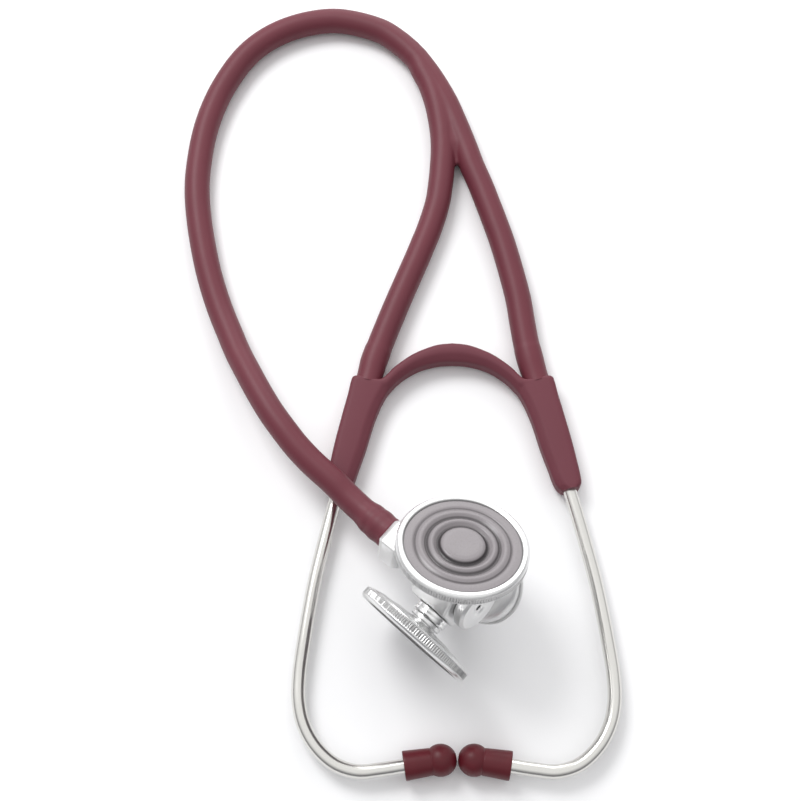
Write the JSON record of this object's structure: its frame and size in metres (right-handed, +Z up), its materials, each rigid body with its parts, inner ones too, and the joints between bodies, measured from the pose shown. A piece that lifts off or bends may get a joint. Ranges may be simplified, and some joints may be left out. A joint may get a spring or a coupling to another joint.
{
  "type": "multi-head stethoscope",
  "caption": "Cardiology stethoscope with spring headset, Y tubing and a turning chestpiece that carries a corrugated diaphragm, a flat diaphragm and a bell.",
  "frame": {"origin": "on the surface that the stethoscope lies on, under the middle of the headset and chestpiece", "axes": "+X across the headset towards the right ear tube as it lies, +Y from the ear tips towards the yoke and tubing, +Z up off the surface"},
  "size_m": [0.1824, 0.3486, 0.0636],
  "materials": {
    "tubing": "burgundy vinyl tubing, satin",
    "yoke_vinyl": "burgundy moulded vinyl, satin",
    "ear_tip_rubber": "dark red moulded rubber",
    "ear_tube_steel": "satin stainless steel",
    "satin_chrome": "satin chrome plate",
    "bright_chrome": "bright chrome plate",
    "spring_steel": "spring steel strip and wire",
    "brass": "plain brass",
    "diaphragm_film": "grey glass-fibre diaphragm film",
    "seal_rubber": "black rubber"
  },
  "bodies": {
    "root": {"main_tube": "tubing", "y_junction": "tubing", "branch_tube_left": "tubing", "branch_tube_right": "tubing", "yoke_arch": "yoke_vinyl", "leaf_spring": "spring_steel", "stem": "satin_chrome", "stem_collar": "satin_chrome", "spindle_o_ring": "seal_rubber", "washer": "bright_chrome", "retaining_screw": "bright_chrome"},
    "left_arm": {"yoke_leg_left": "yoke_vinyl"},
    "right_arm": {"yoke_leg_right": "yoke_vinyl"},
    "left_ear": {"ear_tube_left": "ear_tube_steel", "ear_tip_left": "ear_tip_rubber", "ear_tip_insert_left": "brass"},
    "right_ear": {"ear_tube_right": "ear_tube_steel", "ear_tip_right": "ear_tip_rubber", "ear_tip_insert_right": "brass"},
    "heads": {"manifold": "satin_chrome", "end_cap": "satin_chrome", "detent_ball": "bright_chrome", "detent_spring": "spring_steel", "corrugated_head_cup": "satin_chrome", "corrugated_lock_ring": "bright_chrome", "corrugated_gasket": "seal_rubber", "corrugated_diaphragm": "diaphragm_film", "corrugated_rim": "bright_chrome", "flat_head_cup": "satin_chrome", "flat_lock_ring": "bright_chrome", "flat_gasket": "seal_rubber", "flat_diaphragm": "diaphragm_film", "flat_rim": "bright_chrome", "bell_cup": "satin_chrome", "bell_lock_ring": "bright_chrome", "bell_ring": "satin_chrome"}
  },
  "joints": [
    {"name": "left_spread", "type": "hinge", "parent": "root", "child": "left_arm", "pos_m": [0, 0.0863, 0.0056], "axis": [0, 0, -1], "range_deg": [0, 24], "stiffness_Nm_per_rad": 1.2, "springref_deg": -4.58, "deforming": ["yoke_arch", "leaf_spring", "branch_tube_left"]},
    {"name": "right_spread", "type": "hinge", "parent": "root", "child": "right_arm", "pos_m": [0, 0.0863, 0.0056], "axis": [0, 0, 1], "range_deg": [0, 24], "stiffness_Nm_per_rad": 1.2, "springref_deg": -4.58, "deforming": ["yoke_arch", "leaf_spring", "branch_tube_right"]},
    {"name": "left_ear_turn", "type": "hinge", "parent": "left_arm", "child": "left_ear", "pos_m": [-0.0349, 0.0762, 0.0056], "axis": [-0.248, -0.9688, 0], "range_deg": [0, 30]},
    {"name": "right_ear_turn", "type": "hinge", "parent": "right_arm", "child": "right_ear", "pos_m": [0.0349, 0.0762, 0.0056], "axis": [-0.248, 0.9688, 0], "range_deg": [0, 30]},
    {"name": "head_select", "type": "hinge", "parent": "root", "child": "heads", "pos_m": [-0.0011, -0.0201, 0.0294], "axis": [0.7011, -0.6676, 0.2504], "continuous": true}
  ],
  "couplings": [
    {"joint": "right_spread", "follows": "left_spread", "ratio": 1}
  ]
}
